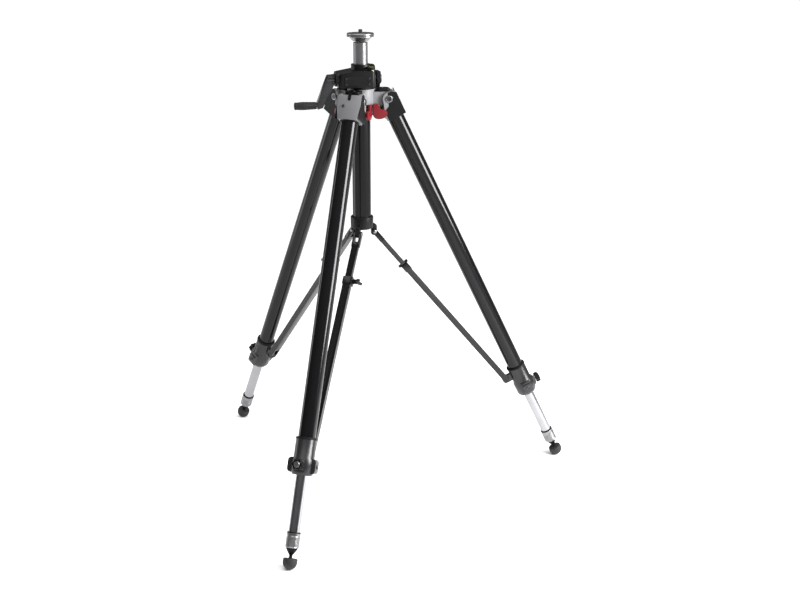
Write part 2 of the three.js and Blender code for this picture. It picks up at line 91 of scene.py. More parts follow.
soft_box("key_light", 68, 1.8, 1.3, (0.8, 1.4), 115)
soft_box("left_light", -100, 1.7, 0.7, (0.3, 1.2), 6)

# A wide, high light for the floor and for the tops of the castings.
overhead = bpy.data.objects.new("overhead_light", bpy.data.lights.new("overhead_light", "SUN"))
bpy.context.collection.objects.link(overhead)
overhead.data.energy = 2.6
overhead.data.angle = math.radians(70)
overhead.rotation_euler = (math.radians(8), 0, camera_turn)

world = bpy.data.worlds.new("studio")
bpy.context.scene.world = world
world.use_nodes = True
sky = world.node_tree
sky_ramp = sky.nodes.new("ShaderNodeValToRGB")
sky_split = sky.nodes.new("ShaderNodeSeparateXYZ")
sky_place = sky.nodes.new("ShaderNodeTexCoord")
sky.links.new(sky_place.outputs["Generated"], sky_split.inputs[0])
sky.links.new(sky_split.outputs["Z"], sky_ramp.inputs[0])
sky.links.new(sky_ramp.outputs[0], sky.nodes["Background"].inputs["Color"])
sky_ramp.color_ramp.elements[0].position = 0.05
sky_ramp.color_ramp.elements[0].color = (0.03, 0.03, 0.032, 1)
sky_ramp.color_ramp.elements[1].position = 0.9
sky_ramp.color_ramp.elements[1].color = (0.5, 0.5, 0.5, 1)
sky.nodes["Background"].inputs["Strength"].default_value = 1.0

floor_mesh = bpy.data.meshes.new("studio_floor")
floor_bm = bmesh.new()
bmesh.ops.create_grid(floor_bm, x_segments=8, y_segments=8, size=300)
floor_bm.to_mesh(floor_mesh)
floor_bm.free()
floor = bpy.data.objects.new("studio_floor", floor_mesh)
bpy.context.collection.objects.link(floor)
floor_paint = bpy.data.materials.new("floor_paint")
floor_paint.use_nodes = True
floor_shader = floor_paint.node_tree.nodes["Principled BSDF"]
floor_shader.inputs["Base Color"].default_value = (0.93, 0.93, 0.935, 1)
floor_shader.inputs["Roughness"].default_value = 0.75
floor_shader.inputs["Specular IOR Level"].default_value = 0.2
floor_mesh.materials.append(floor_paint)


# ---- Centre column and top plate ----
# The column is a satin aluminium tube with a steel rack down its front. A turned aluminium
# plate is fixed on top of it, with a dark band round its side that is painted shade under its
# rim, and the head's stud stands in the middle.
def joint_named(name):
    return next(j for j in frame["record"]["behaviour"]["joints"] if j["name"] == name)


def axes_at(place, x_axis, z_axis):
    """A frame with its origin at place, X along x_axis and Z along z_axis."""
    x, z = Vector(x_axis).normalized(), Vector(z_axis).normalized()
    y = z.cross(x).normalized()
    turn = Matrix((x, y, z)).transposed().to_4x4()
    return Matrix.Translation(Vector(place)) @ turn


def closed_mesh(bm):
    """The mesh of a built shape, with its faces turned outwards."""
    bmesh.ops.recalc_face_normals(bm, faces=bm.faces)
    mesh = bpy.data.meshes.new("piece")
    bm.to_mesh(mesh)
    bm.free()
    return mesh


def turned_mesh(profile, sides=72):
    """A turned shape from [radius, height] points in millimetres; the first and last lie on the axis."""
    bm = bmesh.new()
    rings = []
    for r, z in profile:
        if r < 1e-6:
            rings.append([bm.verts.new((0, 0, z * MM))])
        else:
            rings.append([bm.verts.new((r * MM * math.cos(2 * math.pi * i / sides),
                                        r * MM * math.sin(2 * math.pi * i / sides), z * MM))
                          for i in range(sides)])
    for a, b in zip(rings, rings[1:]):
        for i in range(sides):
            j = (i + 1) % sides
            corners = [a[0]] if len(a) == 1 else [a[i], a[j]]
            corners += [b[0]] if len(b) == 1 else [b[j], b[i]]
            if len(corners) > 2:
                bm.faces.new(corners)
    return closed_mesh(bm)


def plate_mesh(outline, low, high):
    """A flat shape cut to an outline in millimetres and raised from low to high."""
    bm = bmesh.new()
    bottom = [bm.verts.new((x * MM, y * MM, low * MM)) for x, y in outline]
    top = [bm.verts.new((x * MM, y * MM, high * MM)) for x, y in outline]
    bm.faces.new(bottom)
    bm.faces.new(top)
    for i in range(len(outline)):
        j = (i + 1) % len(outline)
        bm.faces.new((bottom[i], bottom[j], top[j], top[i]))
    return closed_mesh(bm)


ALONG_X = Matrix.Rotation(math.pi / 2, 4, "Y")  # lays a turned piece's axis along X
ALONG_Y = Matrix.Rotation(math.pi / 2, 4, "X")  # lays it along Y, with its top towards -Y
SHARP_DEGREES = 32  # a fold steeper than this is an edge; a flatter one is part of a curve


def fit(name, mesh, place, body, material, replaces=(), rounding=0.0, steps=2):
    """Puts a piece in its place on a body, with its finish, and rounds its sharp edges."""
    mesh.name = name
    piece = bpy.data.objects.new(name, mesh)
    bpy.context.collection.objects.link(piece)
    piece.matrix_world = place
    mesh.materials.append(material)
    mesh.shade_smooth()
    mesh.set_sharp_from_angle(angle=math.radians(SHARP_DEGREES))
    if rounding:
        bevel = piece.modifiers.new("rounded_edges", "BEVEL")
        bevel.width = rounding * MM
        bevel.segments = steps
        bevel.limit_method = "ANGLE"
        bevel.angle_limit = math.radians(SHARP_DEGREES)
        bevel.harden_normals = True
    bpy.context.view_layer.update()
    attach(piece, body)
    if replaces:
        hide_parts(*([replaces] if isinstance(replaces, str) else replaces))
    return piece


def new_group(name, inputs, outputs):
    """An empty shader node group with named sockets."""
    group = bpy.data.node_groups.new(name, "ShaderNodeTree")
    for label, kind, value in inputs:
        socket = group.interface.new_socket(label, in_out="INPUT", socket_type=kind)
        socket.default_value = value
    for label, kind in outputs:
        group.interface.new_socket(label, in_out="OUTPUT", socket_type=kind)
    return group, group.nodes.new("NodeGroupInput"), group.nodes.new("NodeGroupOutput")


def chain(tree, kind, settings=None, **wires):
    """A node of a kind, with its inputs set or wired by name."""
    node = tree.nodes.new(kind)
    for key, value in (settings or {}).items():
        setattr(node, key, value)
    for key, value in wires.items():
        socket = node.inputs[int(key[1:])] if key[0] == "n" and key[1:].isdigit() else node.inputs[key]
        if hasattr(value, "is_output") and value.is_output:
            tree.links.new(value, socket)
        else:
            socket.default_value = value
    return node


def maths(tree, operation, *values):
    """A sum or product of numbers and sockets."""
    wires = {f"n{i}": value for i, value in enumerate(values)}
    return chain(tree, "ShaderNodeMath", {"operation": operation}, **wires).outputs[0]


FLOAT, COLOUR = "NodeSocketFloat", "NodeSocketColor"

# Grain: fine unevenness of a cast, painted or moulded surface, as a shade, a roughness and a height.
grain, grain_in, grain_out = new_group(
    "surface_grain",
    [("Colour", COLOUR, (0.5, 0.5, 0.5, 1)), ("Speckle", FLOAT, 0.1), ("Grain Size", FLOAT, 900),
     ("Roughness", FLOAT, 0.4), ("Unevenness", FLOAT, 0.1), ("Handling Marks", FLOAT, 0.2)],
    [("Colour", COLOUR), ("Roughness", FLOAT), ("Height", FLOAT)])
g = grain_in.outputs
grain_place = chain(grain, "ShaderNodeTexCoord").outputs["Object"]
fine = chain(grain, "ShaderNodeTexNoise", Vector=grain_place, Scale=g["Grain Size"], Detail=3.0)
broad = chain(grain, "ShaderNodeTexNoise", Vector=grain_place, Scale=22.0, Detail=4.0)
fine_shift = maths(grain, "MULTIPLY_ADD", fine.outputs["Fac"], 2.0, -1.0)
broad_shift = maths(grain, "MULTIPLY_ADD", broad.outputs["Fac"], 2.0, -1.0)
fine_shade = maths(grain, "MULTIPLY", fine_shift, g["Speckle"])
broad_shade = maths(grain, "MULTIPLY", broad_shift, g["Handling Marks"])
shade = maths(grain, "ADD", fine_shade, broad_shade)
gain = maths(grain, "ADD", shade, 1.0)
tinted = chain(grain, "ShaderNodeVectorMath", {"operation": "SCALE"}, Vector=g["Colour"], Scale=gain)
grain.links.new(tinted.outputs["Vector"], grain_out.inputs["Colour"])
rough_shift = maths(grain, "MULTIPLY_ADD", broad_shift, g["Unevenness"], g["Roughness"])
grain.links.new(rough_shift, grain_out.inputs["Roughness"])
grain.links.new(fine.outputs["Fac"], grain_out.inputs["Height"])

# Wear: the paint or polish rubbed thin along a piece's outer edges.
wear, wear_in, wear_out = new_group(
    "edge_wear",
    [("Colour", COLOUR, (0.5, 0.5, 0.5, 1)), ("Bare Colour", COLOUR, (0.6, 0.6, 0.6, 1)),
     ("Amount", FLOAT, 0.3)],
    [("Colour", COLOUR)])
w = wear_in.outputs
edge = chain(wear, "ShaderNodeMapRange", Value=chain(wear, "ShaderNodeNewGeometry").outputs["Pointiness"])
edge.inputs["From Min"].default_value = 0.64
edge.inputs["From Max"].default_value = 0.82
wear_place = chain(wear, "ShaderNodeTexCoord").outputs["Object"]
patch = chain(wear, "ShaderNodeTexNoise", Vector=wear_place, Scale=160.0)
patched = chain(wear, "ShaderNodeMapRange", Value=patch.outputs["Fac"])
patched.inputs["From Min"].default_value = 0.4
patched.inputs["From Max"].default_value = 0.6
worn = maths(wear, "MULTIPLY", edge.outputs[0], patched.outputs[0])
mask = maths(wear, "MULTIPLY", worn, w["Amount"])
mixed = chain(wear, "ShaderNodeMix", {"data_type": "RGBA"}, n0=mask, n6=w["Colour"], n7=w["Bare Colour"])
wear.links.new(mixed.outputs[2], wear_out.inputs["Colour"])

# Drawing lines: the faint streaks that drawing or turning leaves in metal, finer one way than the other.
lines, lines_in, lines_out = new_group(
    "drawing_lines",
    [("Across", FLOAT, 1500), ("Along", FLOAT, 12), ("Roughness", FLOAT, 0.3), ("Spread", FLOAT, 0.1)],
    [("Roughness", FLOAT), ("Height", FLOAT), ("Shade", FLOAT)])
n = lines_in.outputs
stretch = chain(lines, "ShaderNodeCombineXYZ", X=n["Across"], Y=n["Across"], Z=n["Along"])
stretched = chain(lines, "ShaderNodeVectorMath", {"operation": "MULTIPLY"},
                  n0=chain(lines, "ShaderNodeTexCoord").outputs["Object"], n1=stretch.outputs[0])
streak = chain(lines, "ShaderNodeTexNoise", Vector=stretched.outputs[0], Scale=1.0, Detail=3.0)
streak_shift = maths(lines, "MULTIPLY_ADD", streak.outputs["Fac"], 2.0, -1.0)
line_rough = maths(lines, "MULTIPLY_ADD", streak_shift, n["Spread"], n["Roughness"])
lines.links.new(line_rough, lines_out.inputs["Roughness"])
lines.links.new(streak.outputs["Fac"], lines_out.inputs["Height"])
line_shade = maths(lines, "MULTIPLY_ADD", streak_shift, 0.12, 1.0)
lines.links.new(line_shade, lines_out.inputs["Shade"])


def bare_metal(name, colour, roughness, across, along, spread=0.1, depth=0.05):
    """Uncoated metal with drawing or turning lines."""
    material = bpy.data.materials.new(name)
    material.use_nodes = True
    tree = material.node_tree
    shader = tree.nodes["Principled BSDF"]
    drawn = chain(tree, "ShaderNodeGroup", {"node_tree": lines},
                  Across=across, Along=along, Roughness=roughness, Spread=spread)
    grained = chain(tree, "ShaderNodeGroup", {"node_tree": grain}, Colour=(*colour, 1), Speckle=0.05)
    tinted = chain(tree, "ShaderNodeVectorMath", {"operation": "SCALE"},
                   Vector=grained.outputs["Colour"], Scale=drawn.outputs["Shade"])
    tree.links.new(tinted.outputs["Vector"], shader.inputs["Base Color"])
    tree.links.new(drawn.outputs["Roughness"], shader.inputs["Roughness"])
    bump = chain(tree, "ShaderNodeBump", Height=drawn.outputs["Height"], Strength=depth, Distance=0.0003)
    tree.links.new(bump.outputs["Normal"], shader.inputs["Normal"])
    shader.inputs["Metallic"].default_value = 1.0
    return material


def coated(name, colour, roughness, grain_size, depth, speckle=0.08, marks=0.12, uneven=0.06,
           bare=(0.5, 0.5, 0.5), wear_amount=0.25, coat=0.0, coat_roughness=0.1, gloss=0.5):
    """Paint, powder coat or moulded plastic: grain in its colour and surface, and rubbed edges."""
    material = bpy.data.materials.new(name)
    material.use_nodes = True
    tree = material.node_tree
    shader = tree.nodes["Principled BSDF"]
    grained = chain(tree, "ShaderNodeGroup", {"node_tree": grain}, Colour=(*colour, 1), Speckle=speckle,
                    Roughness=roughness, Unevenness=uneven)
    grained.inputs["Grain Size"].default_value = grain_size
    grained.inputs["Handling Marks"].default_value = marks
    rubbed = chain(tree, "ShaderNodeGroup", {"node_tree": wear},
                   Colour=grained.outputs["Colour"], Amount=wear_amount)
    rubbed.inputs["Bare Colour"].default_value = (*bare, 1)
    tree.links.new(rubbed.outputs["Colour"], shader.inputs["Base Color"])
    tree.links.new(grained.outputs["Roughness"], shader.inputs["Roughness"])
    bump = chain(tree, "ShaderNodeBump", Height=grained.outputs["Height"], Strength=depth, Distance=0.0004)
    tree.links.new(bump.outputs["Normal"], shader.inputs["Normal"])
    shader.inputs["Coat Weight"].default_value = coat
    shader.inputs["Coat Roughness"].default_value = coat_roughness
    shader.inputs["Specular IOR Level"].default_value = gloss
    return material


# Rounded shading for frame pieces: flat faces stay flat, and curved walls shade smooth.
smooth_tree = bpy.data.node_groups.new("smooth_curved_walls", "GeometryNodeTree")
smooth_tree.interface.new_socket("Geometry", in_out="INPUT", socket_type="NodeSocketGeometry")
smooth_tree.interface.new_socket("Geometry", in_out="OUTPUT", socket_type="NodeSocketGeometry")
walls_in = smooth_tree.nodes.new("NodeGroupInput")
walls_out = smooth_tree.nodes.new("NodeGroupOutput")
fold = smooth_tree.nodes.new("GeometryNodeInputMeshEdgeAngle")
is_curved = chain(smooth_tree, "FunctionNodeCompare", {"operation": "LESS_THAN"},
                  n0=fold.outputs[0], n1=math.radians(SHARP_DEGREES))
soft_edges = chain(smooth_tree, "GeometryNodeSetShadeSmooth", {"domain": "EDGE"},
                   Geometry=walls_in.outputs[0])
smooth_tree.links.new(is_curved.outputs[0], soft_edges.inputs["Shade Smooth"])
soft_faces = chain(smooth_tree, "GeometryNodeSetShadeSmooth", {"domain": "FACE"},
                   Geometry=soft_edges.outputs[0])
smooth_tree.links.new(soft_faces.outputs[0], walls_out.inputs[0])


def keep(node, material, rounding=0.5, steps=2):
    """A frame piece whose shape is right: its finish, its edges broken, its curved walls smooth."""
    piece = frame["nodes"][node]
    for slot in piece.material_slots:
        slot.material = material
    weld = piece.modifiers.new("closed_seams", "WELD")
    weld.merge_threshold = 0.00001
    if rounding:
        bevel = piece.modifiers.new("broken_edges", "BEVEL")
        bevel.width = rounding * MM
        bevel.segments = steps
        bevel.limit_method = "ANGLE"
        bevel.angle_limit = math.radians(SHARP_DEGREES)
        bevel.use_clamp_overlap = True
    walls = piece.modifiers.new("curved_walls", "NODES")
    walls.node_group = smooth_tree
    return piece


satin_metal = bare_metal("satin_aluminium", (0.13, 0.13, 0.135), 0.36, 1400, 14)
turned_metal = bare_metal("turned_aluminium", (0.22, 0.22, 0.225), 0.30, 60, 2600)
steel = bare_metal("plain_steel", (0.2, 0.2, 0.205), 0.32, 900, 300)

crank = joint_named("crank_turn")
head_frame = axes_at(column_axis, crank["axis"], (0, 0, 1))
upright = Matrix.Translation(column_axis)
plate_top = plate_high[2] / MM

tube_low, tube_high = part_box("column_tube")
fit("centre_column", turned_mesh([
    [0, tube_low[2] / MM], [15.4, tube_low[2] / MM], [16, tube_low[2] / MM + 0.6],
    [16, tube_high[2] / MM - 0.4], [15.6, tube_high[2] / MM], [0, tube_high[2] / MM]], 96),
    head_frame, "column", satin_metal, "column_tube")
keep("column_rack", steel, 0)

fit("top_plate_turned", turned_mesh([
    [0, plate_top - 17], [16.9, plate_top - 17.4], [17.4, plate_top - 16.8], [21, plate_top - 13.4],
    [24.6, plate_top - 9.6], [26, plate_top - 8.8], [29.2, plate_top - 8.2], [30, plate_top - 7.4],
    [30, plate_top - 6.0], [29.3, plate_top - 5.6], [29.3, plate_top - 3.0], [30, plate_top - 2.6],
    [30, plate_top - 0.9], [29.2, plate_top - 0.1], [27.2, plate_top], [26.8, plate_top - 0.5],
    [25.4, plate_top - 0.5], [25.0, plate_top], [12.4, plate_top], [12.0, plate_top - 0.6],
    [8.4, plate_top - 0.6], [8.0, plate_top], [5.1, plate_top], [4.6, plate_top - 0.8],
    [0, plate_top - 0.8]], 96),
    upright, "column", turned_metal, "top_plate", 0.15, 2)

# A dark band painted round the plate's side, in the groove below its top, stands for the shade under the
# rim.
painted_rim_shade = coated("painted_rim_shade", (0.03, 0.03, 0.032), 0.4, 1600, 0.1)
fit("rim_shade_band", turned_mesh([
    [0, plate_top - 5.5], [29.8, plate_top - 5.5], [29.95, plate_top - 5.2], [29.95, plate_top - 3.4],
    [29.8, plate_top - 3.1], [0, plate_top - 3.1]], 96),
    upright, "column", painted_rim_shade)

stud_profile = [[0, plate_top - 12]]
THREAD_TURNS, THREAD_PITCH = 9, 1.5
for k in range(THREAD_TURNS):
    z = plate_top - 6 + k * THREAD_PITCH
    stud_profile += [[4.05, z], [4.65, z + 0.75]]
stud_profile += [[4.05, plate_top + 7.2], [3.6, plate_top + 7.9], [0, plate_top + 7.9]]
dark_steel = bare_metal("dark_steel", (0.06, 0.06, 0.065), 0.35, 900, 900)
fit("head_stud_threaded", turned_mesh(stud_profile, 48),
    upright, "column", dark_steel, "head_stud")

for k in range(3):
    a = math.radians(50 + 120 * k)
    screw_place = upright @ Matrix.Rotation(a, 4, "Z") @ Matrix.Translation((0.0187, 0, 0))
    fit(f"plate_set_screw_{k + 1}", turned_mesh([
        [0, plate_top - 3], [2.2, plate_top - 3], [2.2, plate_top + 0.02], [1.3, plate_top + 0.1],
        [1.2, plate_top - 0.8], [0, plate_top - 0.8]], 24),
        screw_place, "column", dark_steel)


# ---- Sleeve ----
# The sleeve is a gloss black tube that hangs from the casting and guides the column.
# A thin plastic cap with a drain hole closes its foot.
gloss_black = coated("gloss_black_tube", (0.0035, 0.0035, 0.004), 0.22, 2200, 0.01,
                     speckle=0.1, marks=0.10, uneven=0.02, bare=(0.3, 0.3, 0.3), wear_amount=0.02,
                     coat=0.35, coat_roughness=0.08, gloss=0.05)
black_plastic = coated("black_plastic", (0.004, 0.004, 0.0045), 0.42, 1500, 0.35, speckle=0.15,
                       bare=(0.06, 0.06, 0.06), wear_amount=0.3, gloss=0.1)
sleeve_low, sleeve_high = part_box("sleeve_tube")
fit("column_sleeve", turned_mesh([
    [0, sleeve_low[2] / MM + 4], [17.6, sleeve_low[2] / MM + 4], [17.6, sleeve_low[2] / MM],
    [20.6, sleeve_low[2] / MM], [21, sleeve_low[2] / MM + 0.5], [21, sleeve_high[2] / MM - 0.4],
    [20.6, sleeve_high[2] / MM], [0, sleeve_high[2] / MM]], 96),
    upright, "frame", gloss_black, "sleeve_tube")
keep("sleeve_cap", black_plastic, 0.3)


# ---- Spider casting ----
# One aluminium casting, painted light grey, carries the sleeve and the three leg pivots.
# A black cover lies on each arm, held by one small screw.
grey_paint = coated("light_grey_paint", (0.15, 0.15, 0.155), 0.42, 1100, 0.18, speckle=0.10, marks=0.10,
                    bare=(0.6, 0.6, 0.61), wear_amount=0.4, gloss=0.25)
keep("spider", grey_paint, 0.9, 3)
SIDES = ("front", "right", "left")
ENDS = (("a", -1), ("b", 1))  # the two ends of a pin, and the two cheeks beside it
for side in SIDES:
    keep(f"arm_cover_{side}", black_plastic, 1.2, 3)
    low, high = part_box(f"arm_cover_{side}")
    screw_at = Vector(((low[0] + high[0]) / 2, (low[1] + high[1]) / 2, 0))
    top = high[2] / MM
    fit(f"cover_screw_{side}", turned_mesh([
        [0, top - 1], [3.2, top - 1], [3.2, top + 0.6], [2.5, top + 1.2],
        [1.5, top + 1.3], [1.4, top + 0.2], [0, top + 0.2]], 32),
        Matrix.Translation(screw_at), "frame", dark_steel)


# ---- Gear housing ----
# A satin black casting holds the pinion against the column's rack. It has a front cover
# held by screws, a round level on top, and a split collar where the column comes out.
black_paint = coated("satin_black_paint", (0.0035, 0.0035, 0.004), 0.36, 1000, 0.25,
                     speckle=0.12, marks=0.15, bare=(0.35, 0.35, 0.35), wear_amount=0.2, gloss=0.15)
keep("gear_housing", black_paint, 0.9, 3)

level_green = coated("level_vial", (0.45, 0.55, 0.06), 0.12, 800, 0.0,
                     speckle=0.02, coat=1.0, coat_roughness=0.03)
keep("bubble_level", level_green, 0.3)

housing_low, housing_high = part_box("gear_housing")
level_low, level_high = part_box("bubble_level")
level_middle = Vector(((level_low[0] + level_high[0]) / 2, (level_low[1] + level_high[1]) / 2, 0))
level_top = level_high[2] / MM
fit("level_ring", turned_mesh([
    [6.2, level_top - 6], [9, level_top - 6], [9, level_top - 0.6], [8.4, level_top + 0.2],
    [6.6, level_top + 0.2], [6.2, level_top - 0.3], [6.2, level_top - 6]], 48),
    Matrix.Translation(level_middle), "frame", black_plastic)

# The crank's shaft line, with X along it away from the crank.
shaft = axes_at(crank["pos_m"], crank["axis"], (0, 0, 1))


def cover_outline(low_y, high_y, low_z, high_z, corner, steps=6):
    """A rectangle with rounded corners, in millimetres."""
    points = []
    for cx, cz, start in ((high_y - corner, high_z - corner, 0), (low_y + corner, high_z - corner, 90),
                          (low_y + corner, low_z + corner, 180), (high_y - corner, low_z + corner, 270)):
        for k in range(steps + 1):
            a = math.radians(start + 90 * k / steps)
            points.append((cx + corner * math.cos(a), cz + corner * math.sin(a)))
    return points


# The front cover lies on the housing's front wall, 40 mm in front of the column's axis.
front_wall = head_frame @ Matrix.Translation((0, -0.040, 0)) @ ALONG_Y
cover_bottom, cover_top = housing_low[2] / MM + 9.5, housing_low[2] / MM + 30
fit("housing_front_cover", plate_mesh(cover_outline(-44, 15, cover_bottom, cover_top, 5), -0.2, 1.1),
    front_wall, "frame", black_paint, (), 0.5)
cover_corners = [(x, z) for x in (-40, 11) for z in (cover_bottom + 4, cover_top - 4)]
for k, (x, z) in enumerate(cover_corners):
    fit(f"housing_screw_{k + 1}", turned_mesh([
        [0, 0.9], [2.1, 0.9], [2.1, 1.9], [1.7, 2.3], [1.1, 2.35], [1.0, 1.5], [0, 1.5]], 24),
        front_wall @ Matrix.Translation((x * MM, z * MM, 0)), "frame", dark_steel)

# The split collar's clamp lugs and screw, on the side away from the crank.
collar_top = housing_high[2] / MM
fit("collar_lugs", plate_mesh(cover_outline(-6, 6, collar_top - 14, collar_top - 1, 3), -9, 9),
    head_frame @ Matrix.Translation((0.0245, 0, 0)) @ ALONG_Y,
    "frame", black_paint, (), 0.8)
fit("collar_screw", turned_mesh([
    [0, -11.5], [3.2, -11.5], [3.4, -11], [3.4, -9], [2, -9], [2, 9], [3.4, 9], [3.4, 11.6], [3, 12.2],
    [1.7, 12.2], [1.6, 10.4], [0, 10.4]], 32),
    head_frame @ Matrix.Translation((0.0262, 0, (collar_top - 7.5) * MM)) @ ALONG_Y,
    "frame", dark_steel)


# ---- Pinion shaft, friction knob and crank ----
# The steel shaft carries the pinion inside the housing. Outside it are a ribbed black knob
# that sets the drag, and a cast arm with a free-turning plastic grip.
keep("pinion_shaft", steel, 0)


def ribbed_outline(ribs, low, high, steps=10):
    """A round outline with ribs, in millimetres."""
    points = []
    for k in range(ribs * steps):
        a = 2 * math.pi * k / (ribs * steps)
        r = low + (high - low) * (0.5 + 0.5 * math.cos(ribs * a))
        points.append((r * math.cos(a), r * math.sin(a)))
    return points


fit("drag_knob", plate_mesh(ribbed_outline(26, 15.9, 17.0, 6), -62.8, -58.4),
    shaft @ ALONG_X, "friction_knob", black_plastic, "friction_knob", 0.5)

dark_paint = coated("dark_grey_paint", (0.010, 0.009, 0.0105), 0.28, 1000, 0.15, speckle=0.10, marks=0.15,
                    bare=(0.45, 0.45, 0.46), wear_amount=0.3, gloss=0.4)
keep("crank_arm", dark_paint, 1.3, 3)
fit("crank_hub_cap", turned_mesh([
    [0, -81.0], [7.2, -81.0], [8.4, -80.4], [8.6, -79.2], [0, -79.2]], 48),
    shaft @ ALONG_X, "crank", satin_metal, (), 0.2)

grip_profile = [[0, 0], [7.2, 0], [7.6, 0.5]]
for k in range(12):
    x = 4 + k * 3.4
    r = 8.0 + 0.9 * math.sin(math.pi * min(1, (x / 44) ** 1.4))
    grip_profile += [[r, x], [r + 0.15, x + 1.2], [r - 0.25, x + 2.2]]
grip_profile += [[8.5, 46], [8.0, 47.6], [7.0, 48.6], [5, 49], [0, 49]]
grip_place = shaft @ Matrix.Translation((-0.1043, 0, -0.057)) @ Matrix.Rotation(-math.pi / 2, 4, "Y")
grip_plastic = coated("grip_plastic", (0.010, 0.010, 0.011), 0.5, 1400, 0.4,
                      speckle=0.2, bare=(0.05, 0.05, 0.05), gloss=0.15)
fit("crank_grip_ribbed", turned_mesh(grip_profile, 64),
    grip_place, "crank_grip", grip_plastic, "crank_grip")


# ---- Column lock ----
# A five-lobed plastic knob on a steel screw presses a pad against the column.
# The bright end of the screw shows in the middle of the knob.
keep("lock_stem", steel, 0.3)
lock = joint_named("column_lock_turn")
lock_place = axes_at(lock["pos_m"], lock["axis"], (0, 0, 1)) @ ALONG_X
lock_mid = 38
fit("lock_knob_lobed", plate_mesh(ribbed_outline(5, 13.6, 20.4, 20), 32 - lock_mid, 43 - lock_mid),
    lock_place, "lock_knob", black_plastic, "lock_knob", 2.6, 4)
fit("lock_knob_hub", turned_mesh([
    [0, 29.5 - lock_mid], [9.6, 29.5 - lock_mid], [10.6, 30.4 - lock_mid], [10.6, 44.6 - lock_mid],
    [9.4, 46 - lock_mid], [0, 46 - lock_mid]], 48),
    lock_place, "lock_knob", satin_metal, (), 0.3)


# ---- Brace hub ----
# A black casting clamped on the sleeve's foot, with one lug for each brace.
keep("brace_hub", black_paint, 0.8, 3)
hub_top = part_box("brace_hub")[1][2] / MM
fit("hub_bead", turned_mesh([
    [21.4, hub_top - 0.2], [25, hub_top - 0.2], [25, hub_top + 0.6], [24, hub_top + 1.6],
    [22, hub_top + 1.8], [21.4, hub_top + 1.4], [21.4, hub_top - 0.2]], 72),
    upright, "frame", black_paint)


# ---- Legs ----
# Each leg turns on a steel pin in the spider. Its cast head is glued on a gloss black tube.
# A bright lower tube slides in it, through a cast collar that clamps with a knob.
chrome = bare_metal("bright_tube", (0.30, 0.30, 0.31), 0.18, 1700, 10, spread=0.07, depth=0.03)
red_plastic = coated("red_plastic", (0.10, 0.003, 0.006), 0.32, 900, 0.12, speckle=0.06, marks=0.15,
                     bare=(0.3, 0.05, 0.06), wear_amount=0.3, coat=0.15, gloss=0.2)
black_rubber = coated("black_rubber", (0.011, 0.011, 0.011), 0.62, 700, 0.5, speckle=0.3, marks=0.35,
                      bare=(0.06, 0.06, 0.06), wear_amount=0.6, gloss=0.35)
BALL_PLACE, BALL_RADIUS = 992, 15.5  # millimetres down the leg from its pivot

